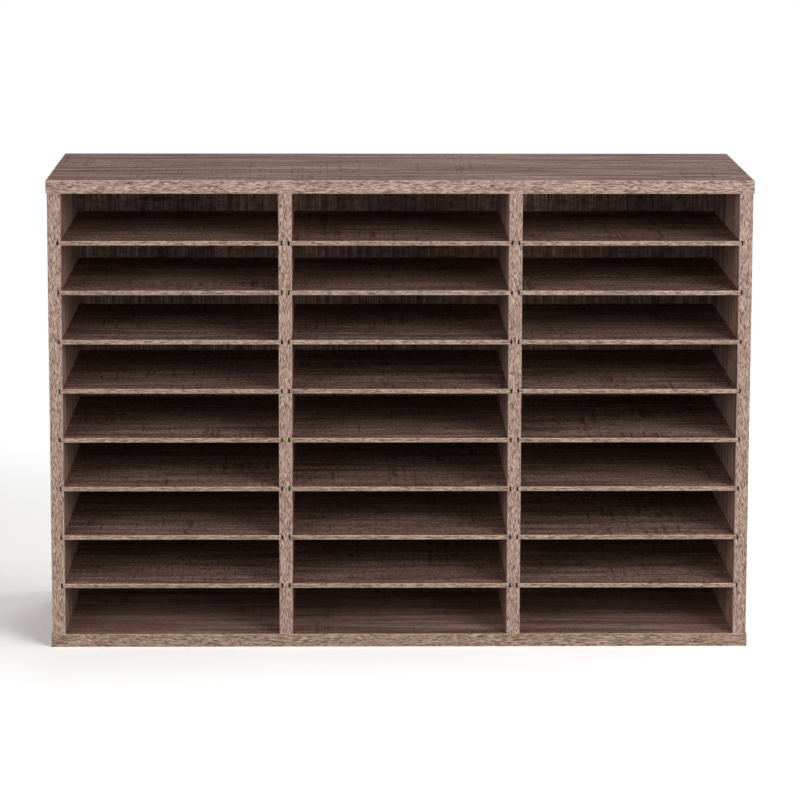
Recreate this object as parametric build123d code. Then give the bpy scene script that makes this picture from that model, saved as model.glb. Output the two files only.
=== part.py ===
from build123d import *
import os

# A desk-top literature organizer: a case of three columns, with loose shelves that slide
# into grooves in its uprights from the front.
# The origin is the middle of the underside, the front faces -Y and +Z is up.

# Case
case_width = 800.0  # capping boards, end to end
case_depth = 305.0  # capping boards, front to rear
board = 15.0  # thickness of the capping boards and the uprights
end_overhang = 1.25  # capping boards past the outer faces of the sides
front_overhang = 1.0  # capping boards past the front edges of the uprights
column_names = ["left", "center", "right"]
upright_names = ["left_side", "left_divider", "right_divider", "right_side"]

# Shelves and the grooves that hold them
shelves_per_column = 8
shelf_thickness = 5.0
shelf_pitch = 56.5  # from one shelf to the next
end_opening = 54.0  # clear height of the highest and the lowest compartment
shelf_groove_depth = 4.5
shelf_groove_slack = 0.4  # groove height past the shelf's thickness
shelf_end_gap = 2.0  # end of a shelf to the bottom of its groove
shelf_rear_gap = 0.3  # rear edge of a shelf to the back
shelf_edge_ease = 0.6  # chamfer along a shelf's front edge

# Edge bands
band_thickness = 1.0
band_edge_ease = 0.5  # chamfer along a band's long edges

# Back panels, held in grooves on all four sides
back_thickness = 3.0
back_inset = 4.0  # rear edges of the case to the back
back_groove_depth = 4.5
back_groove_slack = 0.3  # groove width past the back's thickness
back_edge_gap = 0.5  # edge of a back panel to the bottom of its groove

# Cam joints between the uprights and the capping boards
cam_edge_setback = 60.0  # front and rear edges of an upright to its cams
cam_shelf_spacing = 20.0  # cam axis to the nearest groove
cam_diameter = 14.8
cam_fit = 0.1  # gap around and under a cam
cam_bore_skin = 2.8  # board left behind a cam bore
cam_wall = 2.0  # rim that the bolt's head hooks behind
cam_track_angle = 110.0  # turn that draws the bolt tight
cam_cross_length = 8.0
cam_cross_width = 1.6
cam_cross_depth = 1.8
cam_sides = 20  # facets of a cam and its bore

# Cam bolts
bolt_thread_diameter = 6.0
bolt_shank_diameter = 7.0  # its shoulder stops against the capping board
bolt_neck_diameter = 4.0
bolt_head_diameter = 6.4
bolt_head_height = 3.2
bolt_hole_skin = 3.5  # board left over a bolt hole
bolt_tip_gap = 0.5  # end of the thread to the bottom of its hole
bolt_fit = 0.15  # gap around the thread, the shank and the head
bolt_seat_gap = 0.1  # head to the cam rim that it hooks behind
neck_clearance = 0.4  # gap around the neck in the cam's track

# Dowels, one between the two cams of each joint
dowel_diameter = 8.0
dowel_in_upright = 20.0
dowel_hole_skin = 4.5  # board left over a dowel hole
dowel_end_gap = 0.5  # each end of a dowel to the bottom of its hole
dowel_fit = 0.1  # gap around a dowel
dowel_end_ease = 1.0
peg_sides = 10  # facets of the bolts, the dowels and their holes

# Every cut runs past the face that it starts from by this much
overrun = 2.0

# Sizes that follow from those above
inner_height = 2 * end_opening + (shelves_per_column - 1) * shelf_pitch + shelf_thickness
case_height = inner_height + 2 * board
upright_low = board
upright_high = board + inner_height
case_front = -case_depth / 2
case_rear = case_depth / 2
upright_front = case_front + front_overhang
sides_width = case_width - 2 * end_overhang
column_pitch = (sides_width - board) / len(column_names)
column_width = column_pitch - board
upright_centers = [
    (index - len(column_names) / 2) * column_pitch for index in range(len(upright_names))
]
column_centers = [
    (low + high) / 2 for low, high in zip(upright_centers[:-1], upright_centers[1:])
]
shelf_tops = [
    upright_high - end_opening - index * shelf_pitch for index in range(shelves_per_column)
]
back_front = case_rear - back_inset - back_thickness
back_rear = case_rear - back_inset
cam_setback = end_opening - cam_shelf_spacing
cam_radius = cam_diameter / 2
cam_height = board - cam_bore_skin - cam_fit
cam_cavity_radius = cam_radius - cam_wall
cam_places = [upright_front + cam_edge_setback, case_rear - cam_edge_setback]
dowel_places = [(cam_places[0] + cam_places[1]) / 2]

# The face of each upright that its cams are let into: 1 faces right and -1 faces left
cam_faces = [1, -1, 1, -1]


def block(low, high):
    """A box between two opposite corners."""
    size = [b - a for a, b in zip(low, high)]
    middle = [(a + b) / 2 for a, b in zip(low, high)]
    return Pos(*middle) * Box(*size)


def rod(diameter, low, high, sides=peg_sides):
    """A faceted round bar along Z, from low to high."""
    section = RegularPolygon(diameter / 2, sides)
    return Pos(0, 0, low) * extrude(section, high - low)


def end_frames(index, way, places):
    """Frames on the upper (1) or lower (-1) end of an upright: Z points out, X out of the cams' face."""
    height = upright_high if way > 0 else upright_low
    face_way = (cam_faces[index], 0, 0)
    return [
        Plane(origin=(upright_centers[index], place, height), x_dir=face_way, z_dir=(0, 0, way))
        for place in places
    ]


def upright_frames(index, places):
    """The frames on both ends of an upright."""
    return end_frames(index, 1, places) + end_frames(index, -1, places)


def cap_frames(way, places):
    """The frames that a capping board meets: on the upper (1) or lower (-1) ends of all uprights."""
    return [frame for index in range(len(upright_names)) for frame in end_frames(index, way, places)]


def cam_frame(frame):
    """The frame of a cam, on the face that it is let into, with X towards the joint."""
    origin = frame.from_local_coords((board / 2, 0, -cam_setback))
    return Plane(origin=origin, x_dir=frame.z_dir, z_dir=frame.x_dir)


def shelf_groove_cutter(face_x, way, shelf_top):
    """A groove from the front edge to the rear edge, cut into a face at face_x towards way."""
    ends = sorted([face_x - way * overrun, face_x + way * shelf_groove_depth])
    low = (ends[0], case_front - overrun, shelf_top - shelf_thickness)
    high = (ends[1], case_rear + overrun, shelf_top + shelf_groove_slack)
    return block(low, high)


def back_groove_cutter(face_x, way):
    """The upright groove for a back panel, cut into a face at face_x towards way."""
    ends = sorted([face_x - way * overrun, face_x + way * back_groove_depth])
    low = (ends[0], back_front - back_groove_slack / 2, upright_low - overrun)
    high = (ends[1], back_rear + back_groove_slack / 2, upright_high + overrun)
    return block(low, high)


def inner_faces(index):
    """The faces of an upright that look into a column, each with the way into the board."""
    faces = []
    if index > 0:
        faces.append((upright_centers[index] - board / 2, 1))
    if index < len(upright_names) - 1:
        faces.append((upright_centers[index] + board / 2, -1))
    return faces


def shelf_groove_cutters(index):
    """All the shelf grooves of one upright."""
    return [
        shelf_groove_cutter(face_x, way, shelf_top)
        for face_x, way in inner_faces(index)
        for shelf_top in shelf_tops
    ]


def upright(index):
    """A side or a divider, behind its front band."""
    center = upright_centers[index]
    low = (center - board / 2, upright_front + band_thickness, upright_low)
    high = (center + board / 2, case_rear, upright_high)
    cutters = shelf_groove_cutters(index)
    cutters += [back_groove_cutter(face_x, way) for face_x, way in inner_faces(index)]
    bolt_hole = rod(bolt_shank_diameter + 2 * bolt_fit, -cam_setback, overrun)
    cam_bore = rod(cam_diameter + 2 * cam_fit, cam_bore_skin - board, overrun, cam_sides)
    dowel_hole = rod(dowel_diameter + 2 * dowel_fit, -dowel_in_upright - dowel_end_gap, overrun)
    for frame in upright_frames(index, cam_places):
        cutters.append(frame * bolt_hole)
        cutters.append(cam_frame(frame) * cam_bore)
    for frame in upright_frames(index, dowel_places):
        cutters.append(frame * dowel_hole)
    return block(low, high) - cutters


def upright_band(index):
    """The strip on an upright's front edge, notched by the shelf grooves."""
    center = upright_centers[index]
    low = (center - board / 2, upright_front, upright_low)
    high = (center + board / 2, upright_front + band_thickness, upright_high)
    strip = block(low, high)
    front_edges = strip.faces().sort_by(Axis.Y)[0].edges().filter_by(Axis.Z)
    return chamfer(front_edges, band_edge_ease) - shelf_groove_cutters(index)


def cap_panel(low_z, inner_z, way):
    """A capping board inside its bands, on the upper (1) or lower (-1) ends of the uprights."""
    low = (band_thickness - case_width / 2, case_front + band_thickness, low_z)
    high = (case_width / 2 - band_thickness, case_rear, low_z + board)
    groove_ends = sorted([inner_z - way * overrun, inner_z + way * back_groove_depth])
    groove_low = (-case_width / 2, back_front - back_groove_slack / 2, groove_ends[0])
    groove_high = (case_width / 2, back_rear + back_groove_slack / 2, groove_ends[1])
    cutters = [block(groove_low, groove_high)]
    bolt_hole = rod(bolt_thread_diameter + 2 * bolt_fit, -overrun, board - bolt_hole_skin)
    dowel_hole = rod(dowel_diameter + 2 * dowel_fit, -overrun, board - dowel_hole_skin)
    cutters += [frame * bolt_hole for frame in cap_frames(way, cam_places)]
    cutters += [frame * dowel_hole for frame in cap_frames(way, dowel_places)]
    return block(low, high) - cutters


def cap_front_band(low_z):
    """The strip along the front edge of a capping board."""
    low = (-case_width / 2, case_front, low_z)
    high = (case_width / 2, case_front + band_thickness, low_z + board)
    strip = block(low, high)
    return chamfer(strip.faces().sort_by(Axis.Y)[0].edges(), band_edge_ease)


def cap_end_band(low_z, way):
    """The strip along one end of a capping board."""
    ends = sorted([way * case_width / 2, way * (case_width / 2 - band_thickness)])
    low = (ends[0], case_front + band_thickness, low_z)
    high = (ends[1], case_rear, low_z + board)
    strip = block(low, high)
    outer_face = strip.faces().sort_by(Axis.X)[-1 if way > 0 else 0]
    return chamfer(outer_face.edges().filter_by(Axis.Y), band_edge_ease)


def back_panel(column):
    """The back of one column, with its edges in the grooves around it."""
    reach = column_width / 2 + back_groove_depth - back_edge_gap
    rise = back_groove_depth - back_edge_gap
    low = (column_centers[column] - reach, back_front, upright_low - back_groove_depth)
    high = (column_centers[column] + reach, back_rear, upright_high + rise)
    return block(low, high)


def shelf(column, row):
    """A loose shelf that lies on the lower faces of its grooves."""
    reach = column_width / 2 + shelf_groove_depth - shelf_end_gap
    top = shelf_tops[row]
    low = (column_centers[column] - reach, upright_front, top - shelf_thickness)
    high = (column_centers[column] + reach, back_front - shelf_rear_gap, top)
    plate = block(low, high)
    front_edges = plate.faces().sort_by(Axis.Y)[0].edges().filter_by(Axis.X)
    return chamfer(front_edges, shelf_edge_ease)


def cam_lock():
    """A cam on its own axis: Z points out of the board's face and X towards the joint."""
    bolt_level = Pos(0, 0, -board / 2)
    cavity_height = bolt_head_diameter + 2 * bolt_fit
    track_height = bolt_neck_diameter + 2 * neck_clearance
    cavity = rod(2 * cam_cavity_radius, -cavity_height / 2, cavity_height / 2, cam_sides)
    track_profile = Plane.XZ * Pos(cam_radius / 2, 0) * Rectangle(cam_radius, track_height)
    track = revolve(track_profile, Axis.Z, cam_track_angle)
    track_start = Pos(cam_radius / 2, 0, 0) * Box(cam_radius, track_height, track_height)
    mouth_way = Rot(0, 0, cam_track_angle) * Pos(cam_radius / 2, 0, 0)
    mouth = mouth_way * Box(cam_radius, cavity_height, cavity_height)
    slot = Box(cam_cross_length, cam_cross_width, 2 * cam_cross_depth)
    cross = [slot, Rot(0, 0, 90) * slot]
    hollows = [bolt_level * hollow for hollow in (cavity, track, track_start, mouth)]
    return rod(cam_diameter, -cam_height, 0, cam_sides) - hollows - cross


def cam_bolt():
    """A cam bolt on its own axis: Z points into the capping board and zero is the joint."""
    seat_radius = (cam_cavity_radius**2 - (bolt_head_diameter / 2) ** 2) ** 0.5
    head_high = seat_radius - bolt_seat_gap - cam_setback
    neck_high = cam_radius + neck_clearance - cam_setback
    head = rod(bolt_head_diameter, head_high - bolt_head_height, head_high)
    neck = rod(bolt_neck_diameter, head_high, neck_high)
    shank = rod(bolt_shank_diameter, neck_high, 0)
    thread = rod(bolt_thread_diameter, 0, board - bolt_hole_skin - bolt_tip_gap)
    return head + neck + shank + thread


def dowel():
    """A dowel on its own axis: Z points into the capping board and zero is the joint."""
    peg = rod(dowel_diameter, -dowel_in_upright, board - dowel_hole_skin - dowel_end_gap)
    ends = peg.faces().sort_by(Axis.Z)
    return chamfer(ends[0].edges() + ends[-1].edges(), dowel_end_ease)


def group(solids):
    """Separate solids kept together under one name."""
    return Compound(children=solids)


def build_pieces():
    """Every piece of the organizer, by name."""
    top_z = case_height - board
    pieces = {
        "top_panel": cap_panel(top_z, upright_high, 1),
        "bottom_panel": cap_panel(0, upright_low, -1),
    }
    for cap, low_z in (("top", top_z), ("bottom", 0)):
        pieces[f"{cap}_front_edge_band"] = cap_front_band(low_z)
        pieces[f"{cap}_left_end_band"] = cap_end_band(low_z, -1)
        pieces[f"{cap}_right_end_band"] = cap_end_band(low_z, 1)
    one_lock = cam_lock()
    one_bolt = cam_bolt()
    one_dowel = dowel()
    for index, name in enumerate(upright_names):
        cam_joints = upright_frames(index, cam_places)
        dowel_joints = upright_frames(index, dowel_places)
        pieces[name] = upright(index)
        pieces[f"{name}_edge_band"] = upright_band(index)
        pieces[f"{name}_cam_locks"] = group([cam_frame(frame) * one_lock for frame in cam_joints])
        pieces[f"{name}_cam_bolts"] = group([frame * one_bolt for frame in cam_joints])
        pieces[f"{name}_dowels"] = group([frame * one_dowel for frame in dowel_joints])
    for column, name in enumerate(column_names):
        pieces[f"{name}_back_panel"] = back_panel(column)
        for row in range(shelves_per_column):
            pieces[f"shelf_{name}_{row + 1}"] = shelf(column, row)
    return pieces


os.makedirs("parts", exist_ok=True)
for piece_name, piece in build_pieces().items():
    export_step(piece, os.path.join("parts", f"{piece_name}.step"))
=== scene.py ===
import math

import bmesh
import bpy
from mathutils import Matrix, Vector


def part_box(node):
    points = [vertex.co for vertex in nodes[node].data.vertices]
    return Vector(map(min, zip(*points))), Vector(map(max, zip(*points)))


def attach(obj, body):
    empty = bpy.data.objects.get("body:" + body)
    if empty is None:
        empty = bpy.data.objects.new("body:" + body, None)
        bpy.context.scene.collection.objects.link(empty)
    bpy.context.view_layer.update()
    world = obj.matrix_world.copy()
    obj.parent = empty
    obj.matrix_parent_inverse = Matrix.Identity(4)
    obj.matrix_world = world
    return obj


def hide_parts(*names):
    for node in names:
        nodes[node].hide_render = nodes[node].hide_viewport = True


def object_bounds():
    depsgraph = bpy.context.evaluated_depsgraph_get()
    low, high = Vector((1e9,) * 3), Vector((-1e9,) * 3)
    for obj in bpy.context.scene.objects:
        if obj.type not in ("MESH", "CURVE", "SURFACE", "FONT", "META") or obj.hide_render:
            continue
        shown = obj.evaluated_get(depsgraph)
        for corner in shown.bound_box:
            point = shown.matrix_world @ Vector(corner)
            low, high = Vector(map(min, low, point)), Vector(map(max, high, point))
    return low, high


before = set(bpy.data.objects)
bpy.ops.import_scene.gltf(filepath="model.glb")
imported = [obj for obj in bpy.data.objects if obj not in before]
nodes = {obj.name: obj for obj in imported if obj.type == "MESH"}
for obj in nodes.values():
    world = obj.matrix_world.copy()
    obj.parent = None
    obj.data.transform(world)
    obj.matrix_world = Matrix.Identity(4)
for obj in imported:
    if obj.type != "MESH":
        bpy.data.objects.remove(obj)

cad_low, cad_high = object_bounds()
MM = 0.001

COLUMNS = ("left", "center", "right")
UPRIGHTS = ("left_side", "left_divider", "right_divider", "right_side")
ROWS = range(1, 9)

# The ways that a board's decor runs: along the grain, across it and through the board
LYING = "XYZ"  # capping boards and shelves
STANDING = "ZYX"  # sides and dividers
STANDING_BACK = "ZXY"  # back panels
FRONT_RAIL = "XZY"  # front edges of capping boards and shelves
FRONT_POST = "ZXY"  # front edges of sides and dividers
END_RAIL = "YZX"  # ends of the capping boards

# Where a print starts on its roll, in pattern cells
ROLL_START = (0.0, 0.0, 0.0)
CAP_START = (3.0, 7.0, 0.0)
FOIL_START = (5.0, 0.0, 0.0)
COLUMN_STEP = (17.3, 5.9, 2.7)  # from column to column

# Tests of faces
SQUARE = 0.9  # least part of a normal along the axis that its face is square to
FACE_TOLERANCE = 0.1 * MM


def linear(hex_colour):
    """An sRGB hex value as linear RGBA."""
    shares = [int(hex_colour[i:i + 2], 16) / 255 for i in (0, 2, 4)]
    curve = [s / 12.92 if s <= 0.04045 else ((s + 0.055) / 1.055) ** 2.4 for s in shares]
    return (*curve, 1.0)


def add(tree, kind, settings, inputs):
    """Adds a node with its settings; an input is a plain value or the output that feeds it."""
    node = tree.nodes.new("ShaderNode" + kind)
    for name, value in settings.items():
        setattr(node, name, value)
    for name, value in inputs.items():
        if isinstance(value, bpy.types.NodeSocket):
            tree.links.new(value, node.inputs[name])
        else:
            node.inputs[name].default_value = value
    return node


def cells(axes, along, across, through):
    """The Mapping scale that makes one pattern cell this long, wide and deep, in millimetres."""
    scale = [0.0, 0.0, 0.0]
    for axis, size in zip(axes, (along, across, through)):
        scale["XYZ".index(axis)] = 1 / (size * MM)
    return scale


def across_only(axes, amount):
    """A vector of this many millimetres across the grain."""
    vector = [0.0, 0.0, 0.0]
    vector["XYZ".index(axes[1])] = amount * MM
    return vector


def new_material(name):
    """An empty node material and its node tree."""
    material = bpy.data.materials.new(name)
    material.use_nodes = True
    material.node_tree.nodes.clear()
    return material, material.node_tree


# Prints of rough-sawn oak. A layer's size is that of one pattern cell along, across and through the grain,
# in millimetres. Its range is where the noise comes in, its tint shows by its share, and "within" holds it
# inside other layers. Pores and saw marks are drawn about three times too coarse, so that they show.
BOARD_PRINT = {
    "base": ("836860", "CBA99C"),
    "bend": ((420, 70, 40), 24),
    "layers": {
        "streaks": {"size": (200, 16, 12), "detail": 5.0, "rough": 0.64, "range": (0.36, 0.64)},
        "tone": {"size": (600, 60, 30), "detail": 2.0, "range": (0.36, 0.64),
                 "tint": "B18C7C", "share": 0.5},
        "blush": {"size": (140, 75, 30), "detail": 2.0, "range": (0.5, 0.66),
                  "tint": "A5766B", "share": 0.32},
        "fibres": {"size": (70, 2.4, 12), "detail": 2.0, "range": (0.6, 0.36),
                   "tint": "675045", "share": 0.45},
        "chatter": {"size": (3.4, 11, 12), "detail": 2.0, "rough": 0.65, "range": (0.46, 0.62),
                    "tint": "5C463C", "share": 0.54},
        "growth": {"size": (300, 40, 14), "detail": 1.5, "rings": 11, "range": (0.14, 0.0),
                   "tint": "563F35", "share": 0.3},
        "pores": {"size": (18, 2.0, 12), "detail": 1.0, "range": (0.58, 0.7),
                  "tint": "4E3A31", "share": 0.55},
        "patches": {"size": (150, 110, 25), "detail": 1.5, "range": (0.46, 0.58)},
        "breaks": {"size": (10, 45, 12), "detail": 1.0, "range": (0.46, 0.58)},
        "saw": {"size": (2.7, 500, 40), "detail": 0.5, "range": (0.55, 0.63),
                "within": ("patches", "breaks"), "tint": "3A2922", "share": 0.5},
    },
    "dents": ("saw", "pores"),
    "roughness": (0.82, 0.7),
    "specular": 0.005,
}
# The capping boards come from a calmer part of the print
CALM_PRINT = {
    **BOARD_PRINT,
    "layers": {
        **BOARD_PRINT["layers"],
        "streaks": {**BOARD_PRINT["layers"]["streaks"], "rough": 0.52},
        "fibres": {**BOARD_PRINT["layers"]["fibres"], "share": 0.36},
        "chatter": {**BOARD_PRINT["layers"]["chatter"], "share": 0.22},
        "growth": {**BOARD_PRINT["layers"]["growth"], "share": 0.12},
        "saw": {**BOARD_PRINT["layers"]["saw"], "share": 0.3},
    },
}
# The uprights too, drawn a shade darker
UPRIGHT_PRINT = {**CALM_PRINT, "base": ("7A6158", "C19F92")}
# The backs have a coarser paper, with finer streaks
COARSE_PRINT = {
    **BOARD_PRINT,
    "base": ("8A6E63", "D2B2A5"),
    "layers": {
        **BOARD_PRINT["layers"],
        "streaks": {"size": (120, 5, 12), "detail": 4.0, "rough": 0.64, "range": (0.34, 0.66)},
        "fibres": {"size": (40, 2.2, 12), "detail": 2.0, "range": (0.6, 0.4),
                   "tint": "5A443A", "share": 0.5},
        "chatter": {**BOARD_PRINT["layers"]["chatter"], "size": (6, 16, 12), "share": 0.5},
    },
}
# The edge bands have short, dense pores
EDGE_PRINT = {
    "base": ("AA8E7E", "C3A695"),
    "bend": ((45, 14, 8), 1.3),
    "layers": {
        "streaks": {"size": (30, 2.0, 6), "detail": 2.0, "rough": 0.6, "range": (0.34, 0.66)},
        "pale": {"size": (7, 0.9, 6), "detail": 1.0, "range": (0.5, 0.66),
                 "tint": "D6BDAE", "share": 0.6},
        "pores": {"size": (4.6, 0.72, 6), "detail": 0.0, "range": (0.5, 0.64),
                  "tint": "644A3C", "share": 0.74},
        "long_pores": {"size": (7.5, 0.85, 6), "detail": 0.5, "range": (0.57, 0.67),
                       "tint": "4C3529", "share": 0.76},
    },
    "dents": ("pores", "long_pores"),
    "roughness": (0.66, 0.54),
    "specular": 0.3,
}
# The bottom board's band is drawn darker than the top board's
DARK_EDGE_PRINT = {**EDGE_PRINT, "base": ("957966", "B19480")}
# The shelves' foil has longer pores, and a tone that changes from shelf to shelf
FOIL_PRINT = {
    **EDGE_PRINT,
    "base": ("AF9280", "C9AA97"),
    "layers": {
        "streaks": EDGE_PRINT["layers"]["streaks"],
        "tone": {"size": (320, 30, 30), "detail": 1.0, "range": (0.46, 0.62),
                 "tint": "8A6852", "share": 0.3},
        **EDGE_PRINT["layers"],
        "dashes": {"size": (15, 1.2, 6), "detail": 1.0, "range": (0.55, 0.66),
                   "tint": "543B2D", "share": 0.66},
    },
}
# The arris of a band or foil, tinted pale: a painted highlight that stands in for the light its eased edge
# catches
ARRIS_HIGHLIGHT_PRINT = {
    **EDGE_PRINT,
    "layers": {
        **EDGE_PRINT["layers"],
        # Painted highlight: pale patches along the arris
        "painted_highlight": {"size": (14, 4, 4), "detail": 2.0, "range": (0.3, 0.62),
                "tint": "DDC7B8", "share": 0.75},
    },
}


def printed_oak(name, axes, place, print_of):
    """Melamine paper printed as rough-sawn oak and pressed on: dull, streaked and pored, with saw marks."""
    material, tree = new_material(name)
    coords = add(tree, "TexCoord", {}, {}).outputs["Object"]
    size, amount = print_of["bend"]
    at = add(tree, "Mapping", {}, {"Vector": coords, "Location": place, "Scale": cells(axes, *size)})
    wander = add(tree, "TexNoise", {}, {"Vector": at.outputs[0], "Scale": 1.0, "Detail": 1.0})
    bent = add(tree, "VectorMath", {"operation": "MULTIPLY_ADD"},
               {0: wander.outputs["Color"], 1: across_only(axes, amount), 2: coords}).outputs[0]
    masks = {}
    dark, light = print_of["base"]
    colour = None
    for layer, drawn in print_of["layers"].items():
        at = add(tree, "Mapping", {},
                 {"Vector": bent, "Location": place, "Scale": cells(axes, *drawn["size"])})
        value = add(tree, "TexNoise", {}, {"Vector": at.outputs[0], "Scale": 1.0, "Detail": drawn["detail"],
                                           "Roughness": drawn.get("rough", 0.5)}).outputs["Fac"]
        if "rings" in drawn:
            value = add(tree, "Math", {"operation": "MULTIPLY"}, {0: value, 1: drawn["rings"]}).outputs[0]
            value = add(tree, "Math", {"operation": "PINGPONG"}, {0: value, 1: 0.5}).outputs[0]
        low, high = drawn["range"]
        value = add(tree, "MapRange", {"interpolation_type": "SMOOTHSTEP"},
                    {"Value": value, "From Min": low, "From Max": high}).outputs[0]
        for holder in drawn.get("within", ()):
            value = add(tree, "Math", {"operation": "MULTIPLY"}, {0: value, 1: masks[holder]}).outputs[0]
        masks[layer] = value
        if colour is None:
            colour = add(tree, "Mix", {"data_type": "RGBA"},
                         {0: value, 6: linear(dark), 7: linear(light)}).outputs[2]
        elif "tint" in drawn:
            share = add(tree, "Math", {"operation": "MULTIPLY"}, {0: value, 1: drawn["share"]}).outputs[0]
            colour = add(tree, "Mix", {"data_type": "RGBA"},
                         {0: share, 6: colour, 7: linear(drawn["tint"])}).outputs[2]
    first, second = print_of["dents"]
    dents = add(tree, "Math", {"operation": "MAXIMUM"}, {0: masks[first], 1: masks[second]})
    bump = add(tree, "Bump", {"invert": True},
               {"Height": dents.outputs[0], "Strength": 0.25, "Distance": 0.2 * MM})
    dull, smooth = print_of["roughness"]
    rough = add(tree, "MapRange", {}, {"Value": masks["streaks"], "To Min": dull, "To Max": smooth})
    shader = add(tree, "BsdfPrincipled", {},
                 {"Base Color": colour, "Roughness": rough.outputs[0], "IOR": 1.5,
                  "Specular IOR Level": print_of["specular"], "Normal": bump.outputs[0]})
    add(tree, "OutputMaterial", {}, {"Surface": shader.outputs[0]})
    return material


def sawn_chipboard(name, axes):
    """Chipboard as the saw leaves it: rough and dull, with chips from straw to brown and dark gaps."""
    material, tree = new_material(name)
    coords = add(tree, "TexCoord", {}, {}).outputs["Object"]
    # Chips of 4 by 1 mm, drawn twice too coarse
    at = add(tree, "Mapping", {}, {"Vector": coords, "Scale": cells(axes, 8, 8, 2.0)}).outputs[0]
    chips = add(tree, "TexVoronoi", {}, {"Vector": at, "Scale": 1.0}).outputs["Color"]
    edges = add(tree, "TexVoronoi", {"feature": "DISTANCE_TO_EDGE"},
                {"Vector": at, "Scale": 1.0}).outputs["Distance"]
    tone = add(tree, "SeparateColor", {}, {0: chips}).outputs[0]
    at = add(tree, "Mapping", {}, {"Vector": coords, "Scale": cells(axes, 3, 3, 0.8)}).outputs[0]
    grain = add(tree, "TexNoise", {}, {"Vector": at, "Scale": 1.0, "Detail": 3.0}).outputs["Fac"]
    colour = add(tree, "Mix", {"data_type": "RGBA"},
                 {0: tone, 6: linear("8E6E4D"), 7: linear("CDB08A")}).outputs[2]
    share = add(tree, "MapRange", {},
                {"Value": grain, "From Min": 0.5, "From Max": 0.7, "To Max": 0.5}).outputs[0]
    colour = add(tree, "Mix", {"data_type": "RGBA"}, {0: share, 6: colour, 7: linear("6E5238")}).outputs[2]
    gap = add(tree, "MapRange", {},
              {"Value": edges, "From Min": 0.1, "From Max": 0.0, "To Max": 0.7}).outputs[0]
    colour = add(tree, "Mix", {"data_type": "RGBA"}, {0: gap, 6: colour, 7: linear("4A3524")}).outputs[2]
    rough = add(tree, "MapRange", {}, {"Value": grain, "To Min": 0.8, "To Max": 0.95})
    bump = add(tree, "Bump", {"invert": True}, {"Height": gap, "Strength": 0.5, "Distance": 0.4 * MM})
    shader = add(tree, "BsdfPrincipled", {},
                 {"Base Color": colour, "Roughness": rough.outputs[0], "IOR": 1.5,
                  "Specular IOR Level": 0.1, "Normal": bump.outputs[0]})
    add(tree, "OutputMaterial", {}, {"Surface": shader.outputs[0]})
    return material


def sawn_fibreboard(name):
    """Fibreboard as the saw leaves it: tan and dull, felted with fine fibre and clouded with glue."""
    material, tree = new_material(name)
    coords = add(tree, "TexCoord", {}, {}).outputs["Object"]
    # Fibres of 0.3 mm, drawn three times too coarse
    at = add(tree, "Mapping", {}, {"Vector": coords, "Scale": cells("XYZ", 1.0, 1.0, 1.0)})
    fibre = add(tree, "TexNoise", {},
                {"Vector": at.outputs[0], "Scale": 1.0, "Detail": 4.0, "Roughness": 0.7})
    at = add(tree, "Mapping", {}, {"Vector": coords, "Scale": cells("XYZ", 22, 22, 22)})
    cloud = add(tree, "TexNoise", {}, {"Vector": at.outputs[0], "Scale": 1.0, "Detail": 3.0})
    share = add(tree, "MapRange", {}, {"Value": fibre.outputs["Fac"], "From Min": 0.3, "From Max": 0.7})
    colour = add(tree, "Mix", {"data_type": "RGBA"},
                 {0: share.outputs[0], 6: linear("967A5C"), 7: linear("C6A988")})
    share = add(tree, "MapRange", {},
                {"Value": cloud.outputs["Fac"], "From Min": 0.4, "From Max": 0.7, "To Max": 0.45})
    colour = add(tree, "Mix", {"data_type": "RGBA"},
                 {0: share.outputs[0], 6: colour.outputs[2], 7: linear("86694C")})
    rough = add(tree, "MapRange", {}, {"Value": fibre.outputs["Fac"], "To Min": 0.95, "To Max": 0.8})
    bump = add(tree, "Bump", {}, {"Height": fibre.outputs["Fac"], "Strength": 0.4, "Distance": 0.2 * MM})
    shader = add(tree, "BsdfPrincipled", {},
                 {"Base Color": colour.outputs[2], "Roughness": rough.outputs[0], "IOR": 1.5,
                  "Specular IOR Level": 0.1, "Normal": bump.outputs[0]})
    add(tree, "OutputMaterial", {}, {"Surface": shader.outputs[0]})
    return material


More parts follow.
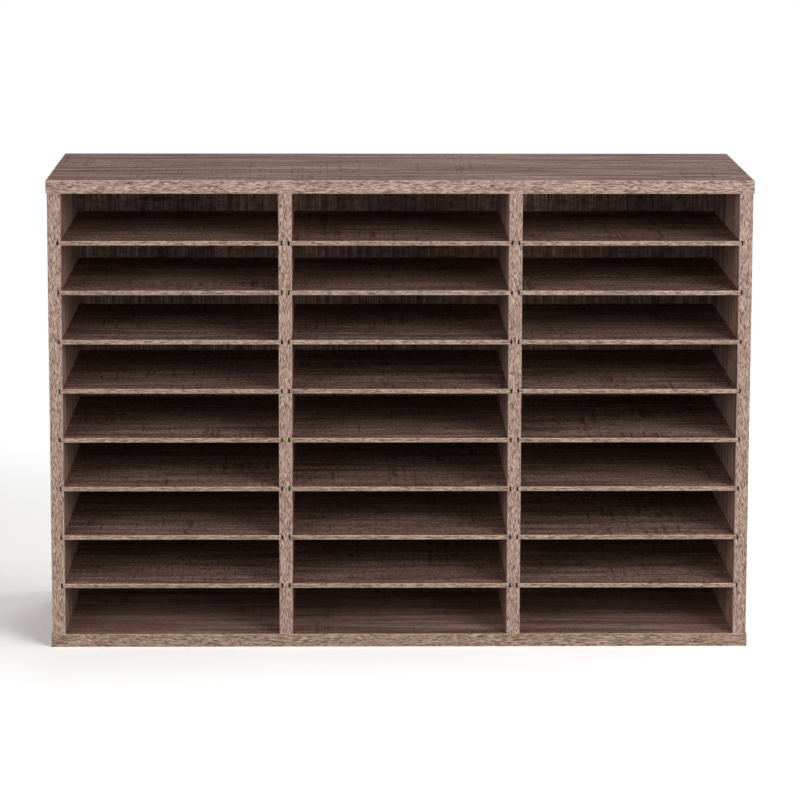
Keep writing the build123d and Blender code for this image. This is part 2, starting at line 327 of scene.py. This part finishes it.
def pressed_hardboard(name):
    """The rough side of hardboard: brown fibre, clouded light and dark, with the press screen's weave."""
    material, tree = new_material(name)
    coords = add(tree, "TexCoord", {}, {}).outputs["Object"]
    at = add(tree, "Mapping", {}, {"Vector": coords, "Scale": cells("XYZ", 45, 45, 45)})
    cloud = add(tree, "TexNoise", {},
                {"Vector": at.outputs[0], "Scale": 1.0, "Detail": 5.0, "Roughness": 0.65})
    at = add(tree, "Mapping", {}, {"Vector": coords, "Scale": cells("XYZ", 9, 3, 2.2)})
    fibre = add(tree, "TexNoise", {},
                {"Vector": at.outputs[0], "Scale": 1.0, "Detail": 4.0, "Roughness": 0.7, "Distortion": 1.5})
    # A screen of 1.5 mm mesh, drawn twice too coarse
    mesh_size = 3.0 * MM
    turns = 2 * math.pi / mesh_size
    place = add(tree, "SeparateXYZ", {}, {0: coords})
    warp = add(tree, "Math", {"operation": "MULTIPLY"}, {0: place.outputs["X"], 1: turns})
    warp = add(tree, "Math", {"operation": "SINE"}, {0: warp.outputs[0]})
    weft = add(tree, "Math", {"operation": "MULTIPLY"}, {0: place.outputs["Z"], 1: turns})
    weft = add(tree, "Math", {"operation": "SINE"}, {0: weft.outputs[0]})
    weave = add(tree, "Math", {"operation": "MAXIMUM"}, {0: warp.outputs[0], 1: weft.outputs[0]})
    share = add(tree, "MapRange", {}, {"Value": cloud.outputs["Fac"], "From Min": 0.3, "From Max": 0.7})
    colour = add(tree, "Mix", {"data_type": "RGBA"},
                 {0: share.outputs[0], 6: linear("886850"), 7: linear("A38266")})
    share = add(tree, "MapRange", {},
                {"Value": fibre.outputs["Fac"], "From Min": 0.52, "From Max": 0.7, "To Max": 0.55})
    colour = add(tree, "Mix", {"data_type": "RGBA"},
                 {0: share.outputs[0], 6: colour.outputs[2], 7: linear("5A402C")})
    share = add(tree, "MapRange", {},
                {"Value": fibre.outputs["Fac"], "From Min": 0.46, "From Max": 0.3, "To Max": 0.4})
    colour = add(tree, "Mix", {"data_type": "RGBA"},
                 {0: share.outputs[0], 6: colour.outputs[2], 7: linear("C2A27F")})
    rough = add(tree, "MapRange", {}, {"Value": cloud.outputs["Fac"], "To Min": 0.9, "To Max": 0.7})
    height = add(tree, "Math", {"operation": "ADD"}, {0: weave.outputs[0], 1: fibre.outputs["Fac"]})
    bump = add(tree, "Bump", {}, {"Height": height.outputs[0], "Strength": 0.35, "Distance": 0.15 * MM})
    shader = add(tree, "BsdfPrincipled", {},
                 {"Base Color": colour.outputs[2], "Roughness": rough.outputs[0], "IOR": 1.5,
                  "Specular IOR Level": 0.15, "Normal": bump.outputs[0]})
    add(tree, "OutputMaterial", {}, {"Surface": shader.outputs[0]})
    return material


def cast_zinc(name):
    """Die-cast zinc: a grey metal with a mottled, slightly pitted skin."""
    material, tree = new_material(name)
    coords = add(tree, "TexCoord", {}, {}).outputs["Object"]
    at = add(tree, "Mapping", {}, {"Vector": coords, "Scale": cells("XYZ", 2.5, 2.5, 2.5)})
    skin = add(tree, "TexNoise", {}, {"Vector": at.outputs[0], "Scale": 1.0, "Detail": 3.0})
    at = add(tree, "Mapping", {}, {"Vector": coords, "Scale": cells("XYZ", 0.6, 0.6, 0.6)})
    pits = add(tree, "TexNoise", {}, {"Vector": at.outputs[0], "Scale": 1.0, "Detail": 2.0})
    colour = add(tree, "Mix", {"data_type": "RGBA"},
                 {0: skin.outputs["Fac"], 6: linear("807D79"), 7: linear("A19D98")})
    rough = add(tree, "MapRange", {}, {"Value": skin.outputs["Fac"], "To Min": 0.46, "To Max": 0.64})
    bump = add(tree, "Bump", {}, {"Height": pits.outputs["Fac"], "Strength": 0.2, "Distance": 0.05 * MM})
    shader = add(tree, "BsdfPrincipled", {},
                 {"Base Color": colour.outputs[2], "Metallic": 1.0, "Roughness": rough.outputs[0],
                  "Normal": bump.outputs[0]})
    add(tree, "OutputMaterial", {}, {"Surface": shader.outputs[0]})
    return material


def plated_steel(name):
    """Turned steel with bright zinc plating: a smooth metal, faintly straw-coloured where it was dipped."""
    material, tree = new_material(name)
    coords = add(tree, "TexCoord", {}, {}).outputs["Object"]
    # Turning marks of 0.15 mm, drawn three times too coarse
    at = add(tree, "Mapping", {}, {"Vector": coords, "Scale": cells("XYZ", 8, 8, 0.45)})
    marks = add(tree, "TexNoise", {}, {"Vector": at.outputs[0], "Scale": 1.0, "Detail": 2.0})
    at = add(tree, "Mapping", {}, {"Vector": coords, "Scale": cells("XYZ", 6, 6, 9)})
    film = add(tree, "TexNoise", {}, {"Vector": at.outputs[0], "Scale": 1.0, "Detail": 2.0})
    share = add(tree, "MapRange", {}, {"Value": film.outputs["Fac"], "From Min": 0.35, "From Max": 0.65})
    colour = add(tree, "Mix", {"data_type": "RGBA"},
                 {0: share.outputs[0], 6: linear("C3C6CA"), 7: linear("CDC6AF")})
    rough = add(tree, "MapRange", {}, {"Value": marks.outputs["Fac"], "To Min": 0.22, "To Max": 0.4})
    bump = add(tree, "Bump", {}, {"Height": marks.outputs["Fac"], "Strength": 0.15, "Distance": 0.05 * MM})
    shader = add(tree, "BsdfPrincipled", {},
                 {"Base Color": colour.outputs[2], "Metallic": 1.0, "Roughness": rough.outputs[0],
                  "Normal": bump.outputs[0]})
    add(tree, "OutputMaterial", {}, {"Surface": shader.outputs[0]})
    return material


def planed_beech(name):
    """Raw beech along the grain: pale and pinkish, with the short brown flecks of its rays."""
    material, tree = new_material(name)
    coords = add(tree, "TexCoord", {}, {}).outputs["Object"]
    at = add(tree, "Mapping", {}, {"Vector": coords, "Scale": cells("ZXY", 40, 2.5, 2.5)})
    grain = add(tree, "TexNoise", {}, {"Vector": at.outputs[0], "Scale": 1.0, "Detail": 3.0})
    at = add(tree, "Mapping", {}, {"Vector": coords, "Scale": cells("ZXY", 3.2, 0.7, 0.7)})
    flecks = add(tree, "TexNoise", {}, {"Vector": at.outputs[0], "Scale": 1.0, "Detail": 1.0})
    share = add(tree, "MapRange", {}, {"Value": grain.outputs["Fac"], "From Min": 0.35, "From Max": 0.65})
    colour = add(tree, "Mix", {"data_type": "RGBA"},
                 {0: share.outputs[0], 6: linear("C9A27C"), 7: linear("DDBE9C")})
    share = add(tree, "MapRange", {"interpolation_type": "SMOOTHSTEP"},
                {"Value": flecks.outputs["Fac"], "From Min": 0.58, "From Max": 0.68, "To Max": 0.6})
    colour = add(tree, "Mix", {"data_type": "RGBA"},
                 {0: share.outputs[0], 6: colour.outputs[2], 7: linear("93633F")})
    rough = add(tree, "MapRange", {}, {"Value": grain.outputs["Fac"], "To Min": 0.75, "To Max": 0.6})
    bump = add(tree, "Bump", {}, {"Height": grain.outputs["Fac"], "Strength": 0.3, "Distance": 0.1 * MM})
    shader = add(tree, "BsdfPrincipled", {},
                 {"Base Color": colour.outputs[2], "Roughness": rough.outputs[0], "IOR": 1.5,
                  "Specular IOR Level": 0.3, "Normal": bump.outputs[0]})
    add(tree, "OutputMaterial", {}, {"Surface": shader.outputs[0]})
    return material


def dress(node, raw, *faced):
    """Gives a node its raw material, and each faced material to the faces that its test picks."""
    mesh = nodes[node].data
    mesh.materials.clear()
    mesh.materials.append(raw)
    for material, _ in faced:
        mesh.materials.append(material)
    for face in mesh.polygons:
        face.material_index = 0
        for index, (_, test) in enumerate(faced):
            if test(face.normal, face.center):
                face.material_index = index + 1


def faces(axis, *places):
    """A test for faces square to an axis, at one of these places along it."""
    index = "XYZ".index(axis)

    def test(normal, center):
        square = abs(normal[index]) > SQUARE
        return square and any(abs(center[index] - place) < FACE_TOLERANCE for place in places)

    return test


def arris(normal, center):
    """A test for the slanted faces along a band's edges, wherever they are."""
    return max(abs(part) for part in normal) < SQUARE


raw_cap = sawn_chipboard("sawn_chipboard_caps", LYING)
raw_upright = sawn_chipboard("sawn_chipboard_uprights", STANDING)
raw_shelf = sawn_fibreboard("sawn_fibreboard")
raw_back = pressed_hardboard("pressed_hardboard")
zinc = cast_zinc("die_cast_zinc")
steel = plated_steel("zinc_plated_steel")
beech = planed_beech("planed_beech")

cap_decor = printed_oak("sawn_oak_laminate_caps", LYING, CAP_START, CALM_PRINT)
front_bands = {
    "top": printed_oak("oak_edge_band_fronts", FRONT_RAIL, ROLL_START, EDGE_PRINT),
    "bottom": printed_oak("oak_edge_band_fronts_dark", FRONT_RAIL, ROLL_START, DARK_EDGE_PRINT),
}
# The arris copies of the bands carry a painted highlight, a pale tint on their slanted faces
front_arris_highlight = printed_oak("oak_edge_band_fronts_arris_highlight", FRONT_RAIL, ROLL_START, ARRIS_HIGHLIGHT_PRINT)
end_band = printed_oak("oak_edge_band_ends", END_RAIL, ROLL_START, EDGE_PRINT)
end_arris_highlight = printed_oak("oak_edge_band_ends_arris_highlight", END_RAIL, ROLL_START, ARRIS_HIGHLIGHT_PRINT)
for cap in ("top", "bottom"):
    low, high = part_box(f"{cap}_panel")
    dress(f"{cap}_panel", raw_cap, (cap_decor, faces("Z", low.z, high.z)))
    dress(f"{cap}_front_edge_band", front_bands[cap], (front_arris_highlight, arris))
    dress(f"{cap}_left_end_band", end_band, (end_arris_highlight, arris))
    dress(f"{cap}_right_end_band", end_band, (end_arris_highlight, arris))

upright_decor = printed_oak("sawn_oak_laminate_uprights", STANDING, ROLL_START, UPRIGHT_PRINT)
post_band = printed_oak("oak_edge_band_uprights", FRONT_POST, ROLL_START, EDGE_PRINT)
# The arris copy of the post band carries a painted highlight, a pale tint on its slanted faces
post_arris_highlight = printed_oak("oak_edge_band_uprights_arris_highlight", FRONT_POST, ROLL_START, ARRIS_HIGHLIGHT_PRINT)
for upright in UPRIGHTS:
    low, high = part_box(upright)
    dress(upright, raw_upright, (upright_decor, faces("X", low.x, high.x)))
    dress(f"{upright}_edge_band", post_band, (post_arris_highlight, arris))

shelf_edge = printed_oak("oak_edge_foil_shelves", FRONT_RAIL, FOIL_START, FOIL_PRINT)
# The arris copy of the shelf foil carries a painted highlight, a pale tint on its slanted faces
shelf_arris_highlight = printed_oak("oak_edge_foil_shelves_arris_highlight", FRONT_RAIL, FOIL_START, ARRIS_HIGHLIGHT_PRINT)
for number, column in enumerate(COLUMNS):
    place = [number * step for step in COLUMN_STEP]
    shelf_decor = printed_oak(f"sawn_oak_laminate_shelves_{column}", LYING, place, BOARD_PRINT)
    back_decor = printed_oak(f"sawn_oak_laminate_back_{column}", STANDING_BACK, place, COARSE_PRINT)
    low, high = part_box(f"{column}_back_panel")
    dress(f"{column}_back_panel", raw_back, (back_decor, faces("Y", low.y)))
    for row in ROWS:
        low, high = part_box(f"shelf_{column}_{row}")
        dress(f"shelf_{column}_{row}", raw_shelf, (shelf_decor, faces("Z", low.z, high.z)),
              (shelf_edge, faces("Y", low.y)), (shelf_arris_highlight, arris))

# Fittings of the joints, each modelled once on its own axis and copied to its places
CAM_SIDES = 48
BOLT_SIDES = 32
DOWEL_FLUTES = 24
SMOOTH_ANGLE = math.radians(30)
SORTED_STEP = 0.0001 * MM  # vertices nearer than this count as level
FITTING_ROWS = (-91.5 * MM, 92.5 * MM)  # front and rear cam
DOWEL_ROW = 0.5 * MM  # midway between them
CAM_SETBACK = 34 * MM  # cam axis to the joint
CAM_FACES = {"left_side": 1, "left_divider": -1, "right_divider": 1, "right_side": -1}  # way along X


def pick(kind, test):
    """In edit mode, selects the faces or vertices that pass the test, and nothing else."""
    bpy.ops.mesh.select_mode(type=kind)
    bpy.ops.mesh.select_all(action="DESELECT")
    mesh = bpy.context.object.data
    form = bmesh.from_edit_mesh(mesh)
    for element in form.faces if kind == "FACE" else form.verts:
        if test(element):
            element.select_set(True)
    form.select_flush_mode()
    bmesh.update_edit_mesh(mesh)


def in_order(form):
    """Sorts a form's vertices, edges and faces by place, because operators leave them in any order."""
    sorter = bmesh.new()
    sorter.from_mesh(form.data)
    keys = (
        (sorter.verts, lambda vertex: [round(part / SORTED_STEP) for part in vertex.co]),
        (sorter.edges, lambda edge: sorted(vertex.index for vertex in edge.verts)),
        (sorter.faces, lambda face: sorted(vertex.index for vertex in face.verts)),
    )
    for elements, key in keys:
        ranks = {element: rank for rank, element in enumerate(sorted(elements, key=key))}
        elements.sort(key=ranks.get)
        elements.index_update()
    sorter.to_mesh(form.data)
    sorter.free()


def turned(name, sides, sections):
    """A form turned round Z: a disc drawn up through these heights and radii, in millimetres."""
    (height, radius), *others = sections
    bpy.ops.object.select_all(action="DESELECT")
    bpy.ops.mesh.primitive_circle_add(vertices=sides, radius=radius * MM, fill_type="NGON",
                                      location=(0, 0, height * MM))
    form = bpy.context.object
    form.name = name
    bpy.ops.object.transform_apply()
    bpy.ops.object.mode_set(mode="EDIT")
    for next_height, next_radius in others:
        rise = (next_height - height) * MM
        bpy.ops.mesh.extrude_region_move(TRANSFORM_OT_translate={"value": (0, 0, rise)})
        growth = next_radius / radius
        bpy.ops.transform.resize(value=(growth, growth, 1), center_override=(0, 0, 0))
        height, radius = next_height, next_radius
    bpy.ops.mesh.select_all(action="SELECT")
    bpy.ops.mesh.normals_make_consistent(inside=False)
    bpy.ops.object.mode_set(mode="OBJECT")
    in_order(form)
    return form


def block(size, place, turn=0.0):
    """A block to cut with, this large at this place in millimetres, turned round Z by degrees."""
    bpy.ops.object.select_all(action="DESELECT")
    bpy.ops.mesh.primitive_cube_add(size=1, location=Vector(place) * MM, scale=Vector(size) * MM)
    bpy.ops.object.transform_apply()
    bpy.context.object.rotation_euler.z = math.radians(turn)
    bpy.ops.object.transform_apply()
    return bpy.context.object


def cut(form, cutter):
    """Takes the cutter out of the form."""
    bpy.context.view_layer.objects.active = form
    modifier = form.modifiers.new("cut", "BOOLEAN")
    modifier.object = cutter
    modifier.solver = "EXACT"
    bpy.ops.object.modifier_apply(modifier="cut")
    bpy.data.objects.remove(cutter)
    in_order(form)


def cam_lock():
    """A cam as die cast: eased rims, a sunk face with a cross and an arrow, and a hooked bolt track."""
    radius = 7.4
    length = 12.1
    foot_ease = 0.5
    rim_ease = 0.4
    rim_width = 1.2
    face_sink = 0.4
    cross_length = 8.0
    cross_width = 1.6
    cross_height = 3.6  # half of it below the rim
    arrow_radius = 0.75
    arrow_height = 1.4
    arrow_place = 4.95
    bolt_level = -7.5
    cavity_radius = 5.4
    head_room = 6.7
    head_reach = 8.0
    neck_room = 4.8
    track_place = 6.2
    track_width = 4
    track_turn = 110  # degrees
    track_steps = 16
    step = 0.15  # between cuts that cross, so that none end flush
    cam = turned("cam", CAM_SIDES, (
        (-length, radius - foot_ease), (foot_ease - length, radius),
        (-rim_ease, radius), (0.0, radius - rim_ease)))
    bpy.ops.object.mode_set(mode="EDIT")
    pick("FACE", lambda face: face.normal.z > SQUARE)
    bpy.ops.mesh.inset(thickness=rim_width * MM)
    bpy.ops.mesh.extrude_region_move(TRANSFORM_OT_translate={"value": (0, 0, -face_sink * MM)})
    bpy.ops.object.mode_set(mode="OBJECT")
    in_order(cam)
    cut(cam, block((cross_length, cross_width, cross_height), (0, 0, 0)))
    cut(cam, block((cross_width, cross_length, cross_height - step), (0, 0, 0)))
    bpy.ops.object.select_all(action="DESELECT")
    bpy.ops.mesh.primitive_cylinder_add(vertices=3, radius=arrow_radius * MM, depth=arrow_height * MM,
                                        location=(arrow_place * MM, 0, 0), rotation=(0, 0, math.radians(-90)))
    bpy.ops.object.transform_apply()
    cut(cam, bpy.context.object)
    half_cavity = head_room / 2 + step
    cut(cam, turned("cavity", CAM_SIDES, (
        (bolt_level - half_cavity, cavity_radius), (bolt_level + half_cavity, cavity_radius))))
    cut(cam, block((radius, neck_room, neck_room), (radius / 2, 0, bolt_level)))
    cut(cam, block((head_reach, head_room, head_room), (head_reach / 2, 0, bolt_level), track_turn))
    bpy.ops.object.select_all(action="DESELECT")
    bpy.ops.mesh.primitive_plane_add(size=1, location=(track_place * MM, 0, bolt_level * MM),
                                     rotation=(math.radians(90), 0, 0))
    bpy.context.object.scale = (track_width * MM, (neck_room - step) * MM, 1)
    bpy.ops.object.transform_apply()
    bpy.ops.object.mode_set(mode="EDIT")
    bpy.ops.mesh.select_all(action="SELECT")
    bpy.ops.mesh.spin(steps=track_steps, angle=math.radians(track_turn), center=(0, 0, 0), axis=(0, 0, 1))
    bpy.ops.mesh.select_all(action="SELECT")
    bpy.ops.mesh.remove_doubles(threshold=0.001 * MM)
    bpy.ops.mesh.normals_make_consistent(inside=False)
    bpy.ops.object.mode_set(mode="OBJECT")
    cut(cam, bpy.context.object)
    return cam


def cam_bolt():
    """A cam bolt as rolled: a round head on a thin neck, a plain shank and a coarse thread for board."""
    head = ((-32.95, 2.6), (-32.45, 3.2), (-30.25, 3.2), (-29.75, 2.8))
    neck = ((-29.75, 2.0), (-26.2, 2.0))
    shank = ((-26.2, 2.9), (-25.6, 3.45), (-0.3, 3.45), (0.0, 3.2))
    core = ((0.0, 2.35), (9.6, 2.35), (11.0, 1.5))
    ridge_radius = 0.5
    ridge_place = 2.45
    thread_start = 0.9
    thread_pitch = 2.2
    thread_turns = 4
    turn_steps = 24
    bolt = turned("bolt", BOLT_SIDES, (*head, *neck, *shank, *core))
    bpy.ops.object.select_all(action="DESELECT")
    bpy.ops.mesh.primitive_circle_add(vertices=3, radius=ridge_radius * MM,
                                      location=(ridge_place * MM, 0, thread_start * MM),
                                      rotation=(math.radians(-90), math.radians(-90), 0))
    bpy.ops.object.transform_apply()
    thread = bpy.context.object
    modifier = thread.modifiers.new("turns", "SCREW")
    modifier.axis = "Z"
    modifier.angle = math.radians(360)
    modifier.iterations = thread_turns
    modifier.screw_offset = thread_pitch * MM
    modifier.steps = turn_steps
    bpy.ops.object.modifier_apply(modifier="turns")
    bpy.ops.object.mode_set(mode="EDIT")
    bpy.ops.mesh.select_all(action="SELECT")
    bpy.ops.mesh.fill_holes(sides=3)
    bpy.ops.mesh.select_all(action="SELECT")
    bpy.ops.mesh.normals_make_consistent(inside=False)
    bpy.ops.object.mode_set(mode="OBJECT")
    bolt.select_set(True)
    bpy.context.view_layer.objects.active = bolt
    bpy.ops.object.join()
    return bolt


def fluted_dowel():
    """A glue dowel as pressed: eased ends, and flutes along it that let glue and air out."""
    radius = 3.88
    ease = 1.0
    in_upright = 20.0
    in_cap = 10.0
    flute_share = 0.93  # radius in a flute
    dowel = turned("dowel", 2 * DOWEL_FLUTES, (
        (-in_upright, radius - ease), (ease - in_upright, radius),
        (in_cap - ease, radius), (in_cap, radius - ease)))
    bpy.ops.object.mode_set(mode="EDIT")
    pick("VERT", lambda vertex: round(math.atan2(vertex.co.y, vertex.co.x) / math.pi * DOWEL_FLUTES) % 2)
    bpy.ops.transform.resize(value=(flute_share, flute_share, 1), center_override=(0, 0, 0))
    bpy.ops.object.mode_set(mode="OBJECT")
    return dowel


def set_at(origin, x_way, z_way):
    """A fitting's place: its origin, and the ways that its own X and Z point."""
    x_way, z_way = Vector(x_way), Vector(z_way)
    turn = Matrix((x_way, z_way.cross(x_way), z_way)).transposed().to_4x4()
    return Matrix.Translation(origin) @ turn


def fit(name, form, places, material, node):
    """Copies a fitting to its places as one piece, which takes the place of a CAD node."""
    bpy.ops.object.select_all(action="DESELECT")
    for place in places:
        copy = form.copy()
        copy.data = form.data.copy()
        copy.matrix_world = place
        bpy.context.scene.collection.objects.link(copy)
        copy.select_set(True)
        bpy.context.view_layer.objects.active = copy
    bpy.ops.object.transform_apply()
    bpy.ops.object.join()
    bpy.ops.object.shade_smooth_by_angle(angle=SMOOTH_ANGLE)
    piece = bpy.context.object
    piece.name = name
    piece.data.name = name
    piece.data.materials.append(material)
    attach(piece, "case")
    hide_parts(node)


one_cam, one_bolt, one_dowel = cam_lock(), cam_bolt(), fluted_dowel()
for upright, face in CAM_FACES.items():
    low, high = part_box(upright)
    middle_x = (low.x + high.x) / 2
    face_x = high.x if face > 0 else low.x
    ends = ((high.z, 1), (low.z, -1))
    cam_places = [set_at((face_x, y, z - way * CAM_SETBACK), (0, 0, way), (face, 0, 0))
                  for z, way in ends for y in FITTING_ROWS]
    bolt_places = [set_at((middle_x, y, z), (face, 0, 0), (0, 0, way))
                   for z, way in ends for y in FITTING_ROWS]
    dowel_places = [set_at((middle_x, DOWEL_ROW, z), (face, 0, 0), (0, 0, way)) for z, way in ends]
    fit(f"{upright}_cams", one_cam, cam_places, zinc, f"{upright}_cam_locks")
    fit(f"{upright}_bolts", one_bolt, bolt_places, steel, f"{upright}_cam_bolts")
    fit(f"{upright}_pegs", one_dowel, dowel_places, beech, f"{upright}_dowels")
for form in (one_cam, one_bolt, one_dowel):
    bpy.data.objects.remove(form)

# Camera, in metres, degrees and millimetres of film
CAMERA_PLACE = (-0.0694, -4.3130, 0.9846)
CAMERA_TURN = (90 - 9.507, -0.126, -0.932)
SENSOR_WIDTH = 36.0
FOCAL_LENGTH = 166.85
VIEW_END = 200.0
camera_data = bpy.data.cameras.new("camera")
camera_data.sensor_width = SENSOR_WIDTH
camera_data.lens = FOCAL_LENGTH
camera_data.clip_end = VIEW_END
camera = bpy.data.objects.new("camera", camera_data)
camera.location = CAMERA_PLACE
camera.rotation_euler = [math.radians(turn) for turn in CAMERA_TURN]
bpy.context.scene.collection.objects.link(camera)
bpy.context.scene.camera = camera

# Soft boxes, turned to the middle of the object: place, width and height in metres, and watts
LAMPS = {
    "left_key": ((-2.1, -2.9, 0.9), (2.2, 1.2), 37.0),
    "right_key": ((2.1, -2.9, 0.9), (2.2, 1.2), 47.0),
    "high_left": ((-2.1, -2.9, 1.9), (2.2, 1.2), 20.0),
    "high_right": ((2.1, -2.9, 1.9), (2.2, 1.2), 42.0),
    "front_fill": ((0.0, -4.4, 0.55), (2.0, 0.8), 5.0),
    "top_fill": ((1.2, 0.2, 2.6), (2.0, 1.4), 16.0),
    "rear_fill": ((0.5, 3.4, 1.0), (2.2, 1.4), 62.0),
}
middle = (cad_low + cad_high) / 2
for name, (place, size, watts) in LAMPS.items():
    lamp_data = bpy.data.lights.new(name, "AREA")
    lamp_data.shape = "RECTANGLE"
    lamp_data.size, lamp_data.size_y = size
    lamp_data.energy = watts
    lamp = bpy.data.objects.new(name, lamp_data)
    lamp.location = place
    lamp.rotation_euler = (middle - Vector(place)).to_track_quat("-Z", "Y").to_euler()
    bpy.context.scene.collection.objects.link(lamp)

# World: white where it is seen, and a low even light on the object
WORLD_LIGHT = 0.03
WHITE = (1.0, 1.0, 1.0, 1.0)
world = bpy.data.worlds.new("studio")
world.use_nodes = True
bpy.context.scene.world = world
tree = world.node_tree
tree.nodes.clear()
path = add(tree, "LightPath", {}, {})
seen = add(tree, "Math", {"operation": "MAXIMUM"},
           {0: path.outputs["Is Camera Ray"], 1: path.outputs["Is Glossy Ray"]})
seen = add(tree, "Math", {"operation": "MAXIMUM"},
           {0: seen.outputs[0], 1: path.outputs["Is Transmission Ray"]})
strength = add(tree, "MapRange", {}, {"Value": seen.outputs[0], "To Min": WORLD_LIGHT, "To Max": 1.0})
sky = add(tree, "Background", {}, {"Color": WHITE, "Strength": strength.outputs[0]})
add(tree, "OutputWorld", {}, {"Surface": sky.outputs[0]})

# Floor: pale, shaded near the object and white further off
FLOOR_SIZE = 120.0
FADE_START = 0.7
FADE_END = 2.2
FLOOR_BOUNCE = (0.35, 0.35, 0.35, 1.0)
FLOOR_SEEN = (2.0, 2.0, 2.0, 1.0)
bpy.ops.object.select_all(action="DESELECT")
bpy.ops.mesh.primitive_plane_add(size=FLOOR_SIZE, location=(0.0, 0.0, cad_low.z))
floor = bpy.context.object
floor.name = "studio_floor"
material, tree = new_material("pale_floor")
coords = add(tree, "TexCoord", {}, {}).outputs["Object"]
distance = add(tree, "VectorMath", {"operation": "LENGTH"}, {0: coords}).outputs["Value"]
far = add(tree, "MapRange", {"interpolation_type": "SMOOTHSTEP"},
          {"Value": distance, "From Min": FADE_START, "From Max": FADE_END}).outputs[0]
path = add(tree, "LightPath", {}, {})
seen = add(tree, "Math", {"operation": "MAXIMUM"},
           {0: path.outputs["Is Camera Ray"], 1: path.outputs["Is Glossy Ray"]}).outputs[0]
shade = add(tree, "Mix", {"data_type": "RGBA"}, {0: seen, 6: FLOOR_BOUNCE, 7: FLOOR_SEEN})
near = add(tree, "BsdfDiffuse", {}, {"Color": shade.outputs[2]})
white = add(tree, "Emission", {}, {"Color": WHITE, "Strength": 1.0})
share = add(tree, "Math", {"operation": "MULTIPLY"}, {0: far, 1: seen}).outputs[0]
both = add(tree, "MixShader", {}, {0: share, 1: near.outputs[0], 2: white.outputs[0]})
add(tree, "OutputMaterial", {}, {"Surface": both.outputs[0]})
floor.data.materials.append(material)

bpy.context.scene.view_settings.view_transform = "Standard"
